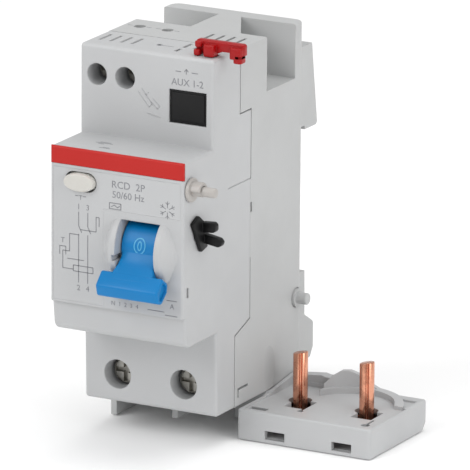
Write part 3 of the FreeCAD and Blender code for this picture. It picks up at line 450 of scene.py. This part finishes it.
def soften(bm, radius, segments=2, chosen=None):
    """Rounds the sharp edges, or those of them that are chosen."""
    bmesh.ops.recalc_face_normals(bm, faces=bm.faces)
    edges = [edge for edge in bm.edges if len(edge.link_faces) == 2 and edge.calc_face_angle(0) > SHARP
             and (chosen is None or chosen(edge))]
    bmesh.ops.bevel(bm, geom=edges, offset=radius, offset_type="OFFSET", segments=segments, profile=0.5,
                    affect="EDGES", material=-1, clamp_overlap=True)


def joined(bm, other):
    """Adds one shape's skin to another's."""
    mesh = bpy.data.meshes.new("part")
    other.to_mesh(mesh)
    other.free()
    bm.from_mesh(mesh)
    bpy.data.meshes.remove(mesh)


def finished(name, bm, slot, body, *nodes, finish=None):
    """Turns a shape into a piece that rides on its body and stands for the named nodes."""
    bmesh.ops.recalc_face_normals(bm, faces=bm.faces)
    bmesh.ops.scale(bm, verts=bm.verts, vec=(MM, MM, MM))
    mesh = bpy.data.meshes.new(name)
    bm.to_mesh(mesh)
    bm.free()
    mesh.shade_smooth()
    mesh.set_sharp_from_angle(angle=SHARP)
    mesh.materials.append(FINISHES[finish or slot])
    made = bpy.data.objects.new(name, mesh)
    bpy.context.scene.collection.objects.link(made)
    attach(made, body)
    if nodes:
        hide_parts(*nodes)


# ---------------------------------------------------------------- toggle

def on_arm(out, back):
    """A point by the toggle's arm: out from its axis, and back from its middle line."""
    cosine, sine = math.cos(TOGGLE_REST), math.sin(TOGGLE_REST)
    return (TOGGLE_AXIS[0] - out * cosine + back * sine, TOGGLE_AXIS[1] - out * sine - back * cosine)


DRUM = 6.6
DRUM_HALF = 4.85
DRUM_ROUND = 0.25
AXLE_HOLE = 1.1
SPRING_POCKET = 3.05
POCKET_FLOOR = -1.9
NECK = [((4.2, -4.6), (4.4, 4.7), 4.6), ((5.5, -3.65), (5.6, 3.5), 4.6),
        ((7.0, -2.95), (6.8, 2.7), 4.65), ((8.6, -2.5), (8.3, 2.05), 4.85),
        ((10.4, -2.25), (10.0, 1.7), 5.3), ((12.4, -1.85), (12.0, 1.5), 6.0)]
GRIP = [(15.75, 1.05), (14.8, -1.4), (10.7, -2.2), (9.65, 0.7), (11.1, 2.3), (14.5, 2.7)]
GRIP_HALF = 8.1
TOGGLE_MARK = 1.45


def make_toggle():
    """A drum on the axle, a neck that widens forward, and a cross bar whose ends are hollowed."""
    centre = (TOGGLE_X, *TOGGLE_AXIS)
    bm = bmesh.new()
    turned(bm, 0, centre, [(POCKET_FLOOR, AXLE_HOLE), (POCKET_FLOOR, SPRING_POCKET),
                           (-DRUM_HALF + 0.1, SPRING_POCKET), (-DRUM_HALF, SPRING_POCKET + 0.2),
                           (-DRUM_HALF, DRUM - DRUM_ROUND), (-DRUM_HALF + DRUM_ROUND, DRUM),
                           (DRUM_HALF - DRUM_ROUND, DRUM), (DRUM_HALF, DRUM - DRUM_ROUND),
                           (DRUM_HALF, AXLE_HOLE + 0.2), (DRUM_HALF - 0.2, AXLE_HOLE)], 96)
    neck = bmesh.new()
    rings = []
    for upper, lower, half in NECK:
        high, low = on_arm(*upper), on_arm(*lower)
        rings.append([(TOGGLE_X - half, *high), (TOGGLE_X + half, *high), (TOGGLE_X + half, *low),
                      (TOGGLE_X - half, *low)])
    loft(neck, rings)
    soften(neck, 0.7, 3, lambda edge: span(edge, 0) < 1.2)
    joined(bm, neck)
    grip = bmesh.new()
    slab(grip, 0, [on_arm(*pair) for pair in GRIP], TOGGLE_X - GRIP_HALF, TOGGLE_X + GRIP_HALF)
    soften(grip, 0.5, 3)
    ends = [face for face in grip.faces if abs(face.normal.x) > 0.98]
    bmesh.ops.inset_individual(grip, faces=ends, thickness=0.35, depth=0)
    bmesh.ops.inset_individual(grip, faces=ends, thickness=0.15, depth=-0.55)
    joined(bm, grip)
    finished("toggle_lever", bm, "toggle_blue", "toggle", "toggle")


def on_drum(bm, height):
    """Wraps a flat mark, drawn across and up in millimetres, round the toggle's drum at a height."""
    for vert in bm.verts:
        across, up, thick = vert.co
        angle = (height + up) / DRUM
        reach = DRUM + thick
        vert.co = (TOGGLE_X + across, TOGGLE_AXIS[0] - reach * math.cos(angle),
                   TOGGLE_AXIS[1] + reach * math.sin(angle))


def hoop(bm, half_wide, half_high, line):
    """A thin flat oval ring, a film thick."""
    disc = bmesh.new()
    bmesh.ops.create_circle(disc, cap_ends=True, segments=40, radius=1)
    bmesh.ops.scale(disc, verts=disc.verts, vec=(half_wide, half_high, 1))
    middle = disc.faces[:]
    bmesh.ops.inset_region(disc, faces=middle, thickness=line, use_boundary=True, use_even_offset=True)
    bmesh.ops.delete(disc, geom=middle, context="FACES")
    bmesh.ops.translate(disc, verts=disc.verts, vec=(0, 0, -FILM))
    raised = bmesh.ops.extrude_face_region(disc, geom=disc.faces[:])["geom"]
    verts = [part for part in raised if isinstance(part, bmesh.types.BMVert)]
    bmesh.ops.translate(disc, verts=verts, vec=(0, 0, 2 * FILM))
    joined(bm, disc)


def make_toggle_marks():
    """A circled nought that shows when the toggle is off, and a stroke that shows when it is on."""
    bm = bmesh.new()
    hoop(bm, 1.55, 1.95, 0.28)
    hoop(bm, 0.6, 1.15, 0.28)
    on_drum(bm, TOGGLE_MARK)
    stroke = bmesh.new()
    box(stroke, (-0.17, -1.3, -FILM), (0.17, 1.3, FILM))
    on_drum(stroke, -TOGGLE_MARK - 2 * DRUM * TOGGLE_REST)
    joined(bm, stroke)
    finished("toggle_marks", bm, "toggle_blue", "toggle", finish="mark_pale")


# ---------------------------------------------------------------- button, slider, link pin and fork

def oval(half_wide, half_high, depth, centre, fullness=2.2, steps=56):
    """A rounded oval between an ellipse and a rectangle, across the front-to-back axis."""
    points = []
    for i in range(steps):
        cosine, sine = math.cos(math.tau * i / steps), math.sin(math.tau * i / steps)
        x = math.copysign(abs(cosine) ** (2 / fullness), cosine) * half_wide
        z = math.copysign(abs(sine) ** (2 / fullness), sine) * half_high
        points.append((centre[0] + x, depth, centre[1] + z))
    return points


STEM_END = -50.9


def make_button():
    """The test button's domed cap, on the flange that keeps it in and the stem that closes the contacts."""
    bm = bmesh.new()
    front = CAP_FACE - 1.5
    loft(bm, [oval(3.95, 2.12, CAP_FACE + 2.0, BUTTON), oval(3.95, 2.12, front + 0.6, BUTTON),
              oval(3.85, 2.05, front + 0.3, BUTTON), oval(3.6, 1.88, front + 0.13, BUTTON),
              oval(3.1, 1.55, front + 0.05, BUTTON), oval(1.8, 0.9, front + 0.01, BUTTON)])
    x, z = BUTTON
    flange = bmesh.new()
    box(flange, (x - 5, CAP_FACE + 1.8, z - 3.3), (x + 5, CAP_FACE + 2.8, z + 3.3))
    soften(flange, 0.3, 2)
    joined(bm, flange)
    turned(bm, 1, (x, 0, z), [(CAP_FACE + 2.5, 0), (CAP_FACE + 2.5, 1.1), (STEM_END - 0.2, 1.1),
                              (STEM_END, 0.9), (STEM_END, 0)], 32)
    finished("test_button_cap", bm, "button_ivory", "test_button", "test_button")


def make_slider():
    """A thin bar with three finger lobes at the left, a hook at the right and a foot in the cover's slot."""
    low, under, arch, high = TOP + 0.15, TOP + 0.9, TOP + 1.35, TOP + 3.7
    left, right = 11.0, 23.5
    bm = bmesh.new()
    outline = [(left, under), (17.0, under), (17.5, arch), (20.0, arch), (20.4, under), (right, under),
               (right, high - 0.35), (23.0, high), (11.4, high), (left, high - 0.4)]
    slab(bm, 1, outline, -41.6, -39.8)
    soften(bm, 0.35, 3)
    lobes = ((left, 12.8, -42.6, high - 1.7, high - 0.3), (left, 12.6, -43.2, low, high - 2.1),
             (13.6, 16.3, -43.3, low, high - 0.8), (20.2, 23.4, -42.9, TOP + 0.2, high - 0.8),
             (21.2, 23.4, -42.9, TOP - 0.7, TOP + 1.4))
    for start, end, deep, foot, top in lobes:
        lobe = bmesh.new()
        box(lobe, (start, deep, foot), (end, -40.4, top))
        soften(lobe, 0.7, 4, lambda edge: span(edge, 2) > 1 and edge.verts[0].co.y < -41)
        soften(lobe, 0.3, 3)
        joined(bm, lobe)
    for low_corner, high_corner in (((14.95, -41.1, 41.2), (15.7, -39.9, TOP + 1.6)),
                                    ((14.95, -42.2, 40.9), (15.7, -38.4, 41.7)),
                                    ((12.9, -41.8, low + 0.2), (14.4, -40.6, TOP + 2.0))):
        foot = bmesh.new()
        box(foot, low_corner, high_corner)
        soften(foot, 0.12, 1)
        joined(bm, foot)
    finished("slider_bar", bm, "slider_red", "locking_slider", "locking_slider")


def make_link_pin():
    """A flanged pin with a half collar over its root, on a shaft through the side wall."""
    bm = bmesh.new()
    shaft = [(-4.1, 0), (-4.1, 1.3), (-3.9, 1.5), (0.1, 1.5)]
    disc = [(0.1, 2.7), (0.2, 2.85), (0.7, 2.85), (0.9, 2.6), (0.9, 1.35)]
    pin = [(3.4, 1.35), (3.4, 1.15), (6.5, 1.15), (6.7, 1.05), (6.8, 0.8), (6.8, 0)]
    turned(bm, 0, LINK_AXIS, shaft + disc + pin, 64)
    collar = bmesh.new()
    gap = 0.1
    turned(collar, 0, LINK_AXIS, [(0.6, 1.2), (0.6, 2.1), (3.2, 2.1), (3.4, 1.95), (3.4, 1.2)], 28,
           math.pi - 2 * gap, gap)
    joined(bm, collar)
    finished("link_pin_turned", bm, "link_ivory", "link_pin", "link_pin")


def make_fork():
    """Two rounded prongs on a cheek that turns in the side wall."""
    bm = bmesh.new()
    cheek = [(-56.2, 7.4), (-53.2, 8.8), (-51.4, 7.4), (-50.4, 6.9), (-49.1, 0.6), (-52.1, -0.1)]
    slab(bm, 0, cheek, SIDE + 0.1, SIDE + 1.1)
    soften(bm, 0.25, 2)
    turned(bm, 0, (0, *FORK_AXIS[1:]), [(12.9, 0), (12.9, 1.8), (13.1, 2.0), (18.0, 2.0), (18.0, 0)], 48)
    upper = [(18.1, 4.4), (18.1, 6.9), (21.2, 7.1), (21.8, 6.5), (21.8, 5.2), (21.3, 4.7)]
    lower = [(18.1, 1.7), (18.1, 3.9), (20.0, 3.6), (22.3, 3.2), (23.0, 2.4), (22.7, 1.5), (22.0, 1.1)]
    for outline, near_side, far_side in ((upper, -51.8, -49.8), (lower, -50.9, -48.9)):
        prong = bmesh.new()
        slab(prong, 1, outline, near_side, far_side)
        soften(prong, 0.35, 3)
        joined(bm, prong)
    finished("fork_prongs", bm, "fork_black", "trip_fork", "trip_fork")


# ---------------------------------------------------------------- screws, rivets and small inserts

def make_screw(name, x, z, head, top, seat, shank, tip):
    """A clamp screw: a chamfered head with a cross slot between four lands, and a grooved shank."""
    wing, slot, short = head * 0.84, head * 0.17, head * 0.6
    deep, pitch, groove = 1.3, 0.5, 0.22
    bm = bmesh.new()
    rim = [(top + deep, 0), (top + deep, wing), (top + 0.12, wing), (top, head * 0.86), (top + 0.35, head),
           (seat - 0.2, head), (seat, head - 0.25), (seat, shank)]
    count = int((tip - seat) / pitch) - 1
    grooves = [(seat + pitch * (i + 1), shank - groove * (i % 2)) for i in range(count)]
    turned(bm, 1, (x, 0, z), rim + grooves + [(tip, shank * 0.7), (tip, 0)], 40)
    outline = [(slot, slot), (slot, short), (slot, wing * 0.98), (wing * 0.45, wing * 0.88),
               (wing * 0.68, wing * 0.72), (wing * 0.86, wing * 0.5), (wing * 0.95, slot), (short, slot)]
    for side_x in (-1, 1):
        for side_z in (-1, 1):
            land = bmesh.new()
            points = [(x + side_x * px, z + side_z * pz) for px, pz in outline]
            slab(land, 1, points, top + 0.1, top + deep)
            joined(bm, land)
    finished("head_" + name, bm, "screw_steel", name, name)


def make_screws():
    """Two load screws and two smaller auxiliary ones."""
    for side, x in (("left", -8.75), ("right", 8.75)):
        make_screw("load_screw_" + side, x, -35.7, 3.2, -38.8, -35.65, 2.5, -27.0)
    for side, x in (("left", -13.1), ("right", -5.7)):
        make_screw("aux_screw_" + side, x, 36.5, 2.3, -39.6, -37.25, 1.5, -31.3)


GROOVE_TURN = math.radians(28)
PIN_FOOT = -47.6
PIN_SLANT = 0.16
STRIP = (-48.6, -47.4)
RISER_TOP = -41.3


def make_pin(side, x, strip, riser):
    """A drawn copper pin with one groove down its length and a slanted end, on the strip that feeds it."""
    radius, depth, top = 1.75, -17.5, -31.4
    mouth, step = 12, 7.35
    outline = []
    for i in range(47):
        angle = math.radians(mouth + step * i) - math.pi / 2 + GROOVE_TURN
        outline.append((x + radius * math.cos(angle), depth + radius * math.sin(angle)))
    floor = radius - 0.75
    for away in (-0.34, -0.2, 0.2, 0.34):
        reach = floor if abs(away) < 0.3 else floor + 0.25
        outline.append((x + reach * math.sin(GROOVE_TURN) + away * math.cos(GROOVE_TURN),
                        depth - reach * math.cos(GROOVE_TURN) + away * math.sin(GROOVE_TURN)))
    bm = bmesh.new()
    slab(bm, 2, outline, PIN_FOOT, top)
    crown = [vert for vert in bm.verts if vert.co.z > top - 0.1]
    for vert in crown:
        vert.co.z -= PIN_SLANT * (radius - (vert.co.x - x))
    soften(bm, 0.12, 2)
    under, over = STRIP
    for low, high in (((x - 2, depth - 2, under), (x + 2, strip[1], over)),
                      ((riser[0], strip[0], under), (x + 2, strip[1], over)),
                      ((riser[0], strip[0], under), (riser[1], strip[1], RISER_TOP))):
        flat = bmesh.new()
        box(flat, low, high)
        soften(flat, 0.12, 1)
        joined(bm, flat)
    finished("grooved_pin_" + side, bm, "pin_copper", "housing", "copper_pin_" + side)


def make_window():
    """A black plug in a shallow frame, with a raised pane whose edges are rounded."""
    front = UPPER_FACE + 0.35
    bm = bmesh.new()
    box(bm, (5.95, front, 27.55), (15.65, front + 0.45, 35.45))
    soften(bm, 0.12, 2)
    for low, high, radius in (((6.55, front - 0.3, 28.15), (15.05, front + 0.2, 34.85), 0.28),
                              ((7.45, front + 0.35, 29.05), (14.15, front + 1.85, 33.95), 0.2)):
        pane = bmesh.new()
        box(pane, low, high)
        soften(pane, radius, 3)
        joined(bm, pane)
    finished("window_pane", bm, "insert_black", "housing", "window_insert")


# ---------------------------------------------------------------- printing

def lettering(words, height, centre, bm):
    """Adds a line of letters, centred at x and z, to a flat mark drawn in x and y."""
    curve = bpy.data.curves.new("words", "FONT")
    curve.body = words
    curve.size = height / 0.7
    curve.align_x = "CENTER"
    curve.align_y = "CENTER"
    curve.extrude = FILM
    curve.resolution_u = 3
    holder = bpy.data.objects.new("words", curve)
    mesh = bpy.data.meshes.new_from_object(holder)
    mesh.transform(Matrix.Translation((centre[0], centre[1], 0)))
    letters = bmesh.new()
    letters.from_mesh(mesh)
    bmesh.ops.remove_doubles(letters, verts=letters.verts, dist=0.002)
    joined(bm, letters)
    bpy.data.meshes.remove(mesh)
    bpy.data.objects.remove(holder)
    bpy.data.curves.remove(curve)


def bars(bm, lines, width=0.22):
    """Printed strokes between pairs of points."""
    for x0, z0, x1, z1 in lines:
        along = Vector((x1 - x0, z1 - z0, 0))
        side = Vector((-along.y, along.x, 0)).normalized() * width / 2
        first, last = Vector((x0, z0, 0)), Vector((x1, z1, 0))
        outline = [first - side, last - side, last + side, first + side]
        slab(bm, 2, [point.xy for point in outline], -FILM, FILM)


def printed(name, bm, depth, finish="ink", slot="label_grey", on_top=False):
    """Lays a flat mark, drawn across and up, on a front face, or on an upper face with up as its way back."""
    for vert in bm.verts:
        across, up, thick = vert.co
        vert.co = (across, up, depth + thick) if on_top else (across, depth - thick, up)
    finished(name, bm, slot, "housing", finish=finish)


def make_ratings():
    """Two short rows, a type symbol and a cold-weather star."""
    bm = bmesh.new()
    lettering("RCD  2P", 1.7, (3.0, 15.0), bm)
    lettering("50/60 Hz", 1.6, (3.0, 12.6), bm)
    bars(bm, [(-1.9, 9.2, 1.1, 9.2), (-1.9, 10.6, 1.1, 10.6), (-1.9, 9.2, -1.9, 10.6),
              (1.1, 9.2, 1.1, 10.6), (-1.4, 9.7, -0.6, 10.2), (-0.6, 10.2, 0.2, 9.6),
              (0.2, 9.6, 0.8, 10.1)], 0.2)
    star = (13.3, 10.8)
    for i in range(6):
        angle = math.tau * i / 6 + math.tau / 12
        reach = Vector((math.cos(angle), math.sin(angle)))
        side = Vector((-reach.y, reach.x))
        tip, fork = reach * 2.1, reach * 1.35
        bars(bm, [(star[0] + reach.x * 0.5, star[1] + reach.y * 0.5, star[0] + tip.x, star[1] + tip.y)], 0.16)
        for turn in (-1, 1):
            twig = fork + reach * 0.45 + side * 0.5 * turn
            bars(bm, [(star[0] + fork.x, star[1] + fork.y, star[0] + twig.x, star[1] + twig.y)], 0.14)
    printed("ratings_print", bm, CAP_FACE)


def make_diagram():
    """A two-pole circuit with a summation ring, a test branch and the trip link."""
    bm = bmesh.new()
    bars(bm, [(-10.0, 7.3, -10.0, 4.0), (-7.6, 7.3, -7.6, 4.0), (-10.0, 4.0, -9.2, 2.4),
              (-7.6, 4.0, -6.8, 2.4), (-10.0, 2.0, -10.0, -9.6), (-7.6, 2.0, -7.6, -9.6),
              (-9.6, 3.1, -5.4, 3.1), (-5.4, 3.1, -5.4, 6.6), (-5.4, 6.6, -4.6, 6.6),
              (-4.6, 6.6, -4.6, 4.4), (-12.4, 1.8, -12.4, -2.4), (-12.4, 1.8, -10.0, 1.8),
              (-12.4, -2.4, -14.2, -2.4), (-14.2, -2.4, -14.2, -6.6), (-14.2, -6.6, -11.4, -6.6),
              (-11.4, -5.6, -6.2, -5.6), (-11.4, -7.0, -6.2, -7.0), (-11.4, -5.6, -11.4, -7.0),
              (-6.2, -5.6, -6.2, -7.0), (-13.0, -4.2, -8.6, -4.2), (-15.0, -1.4, -13.4, -1.4),
              (-15.0, -1.4, -15.0, -3.4), (-13.4, -1.4, -13.4, -3.4)], 0.2)
    lettering("1", 1.3, (-10.0, 8.5), bm)
    lettering("3", 1.3, (-7.6, 8.5), bm)
    lettering("2", 1.3, (-10.0, -10.9), bm)
    lettering("4", 1.3, (-7.6, -10.9), bm)
    lettering("T", 1.2, (-14.2, 0.0), bm)
    printed("circuit_print", bm, CAP_FACE)


def make_small_print():
    """The notes by the toggle, and the words and arrow over the window plug."""
    bm = bmesh.new()
    lettering("T", 1.1, (-9.5, 10.7), bm)
    bars(bm, [(-10.9, 11.1, -10.1, 11.1), (-8.9, 11.1, -8.1, 11.1)], 0.18)
    lettering("N  1  2  3  4", 1.0, (2.2, -13.3), bm)
    lettering("A", 1.2, (14.6, -12.0), bm)
    bars(bm, [(8.2, -13.5, 12.6, -13.5), (12.8, -14.2, 16.0, -14.2), (13.2, -10.6, 15.8, -10.6)], 0.2)
    printed("toggle_notes_print", bm, CAP_FACE)
    upper = bmesh.new()
    lettering("AUX 1-2", 1.6, (10.7, 37.3), upper)
    bars(upper, [(10.4, 40.6, 10.4, 39.4), (10.4, 40.6, 9.9, 40.0), (10.4, 40.6, 10.9, 40.0),
                 (7.6, 39.9, 9.0, 39.9), (11.8, 39.9, 13.4, 39.9)], 0.2)
    printed("window_print", upper, UPPER_FACE, slot="cover_grey")


def make_moulded_marks():
    """Raised symbols on the upper face: a wire end and its stripping length."""
    bm = bmesh.new()
    bars(bm, [(-2.3, 33.9, 0.6, 30.4), (-1.3, 34.6, 1.5, 31.2), (0.6, 30.4, 1.5, 31.2),
              (1.0, 31.8, 2.9, 30.2), (2.9, 30.2, 3.4, 31.0), (1.6, 32.6, 3.4, 31.0),
              (0.2, 28.9, 3.6, 28.3), (-0.3, 33.2, 0.6, 33.9)], 0.28)
    printed("stripping_symbol", bm, UPPER_FACE, finish="cover_grey", slot="cover_grey")


def make_top_marks():
    """Guide lines by the wire entries, a dot with its pointer, and two short marks on the ledge."""
    bm = bmesh.new()
    for x in (-13.1, -5.7):
        bars(bm, [(x - 3.1, -24.7, x - 1.8, -24.7), (x + 1.8, -24.7, x + 3.1, -24.7)], 0.16)
    bars(bm, [(0.2, -38.0, 3.2, -38.0)], 0.18)
    hoop(bm, 0.7, 0.7, 0.3)
    shift = [vert for vert in bm.verts if vert.co.y > -5]
    bmesh.ops.translate(bm, verts=shift, vec=(-0.5, -38.0, 0))
    printed("top_marks", bm, TOP, slot="cover_grey", on_top=True)
    ledge = bmesh.new()
    bars(ledge, [(-9.6, -51.6, -5.2, -51.6), (-8.8, -50.9, -6.0, -50.9), (-8.6, -52.3, -7.2, -52.3),
                 (-6.6, -55.4, -3.8, -55.4), (-6.0, -54.8, -4.4, -54.8)], 0.3)
    printed("ledge_marks", ledge, CAP_TOP, slot="cover_grey", on_top=True)


def shorten_springs():
    """Gives the springs behind the test button and in the rail clip meshes of their own; nothing shortens
    them.
    """
    for name, joint, axis, fixed, travel in (("test_spring", "test_press", 1, 1, 1.3),
                                             ("clip_spring", "clip_slide", 2, 0, 4.5)):
        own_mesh(frame["nodes"][name])


# ---------------------------------------------------------------- the scene

place_camera()
light_studio()
lay_floor()
finish_nodes()
make_toggle()
make_toggle_marks()
make_button()
make_slider()
make_link_pin()
make_fork()
make_screws()
make_ratings()
make_diagram()
make_small_print()
make_moulded_marks()
make_top_marks()
make_pin("left", 26.25, (-13.4, -11.0), (10.8, 12.6))
make_pin("right", 43.75, (-9.6, -7.4), (12.4, 14.2))
make_window()
shorten_springs()
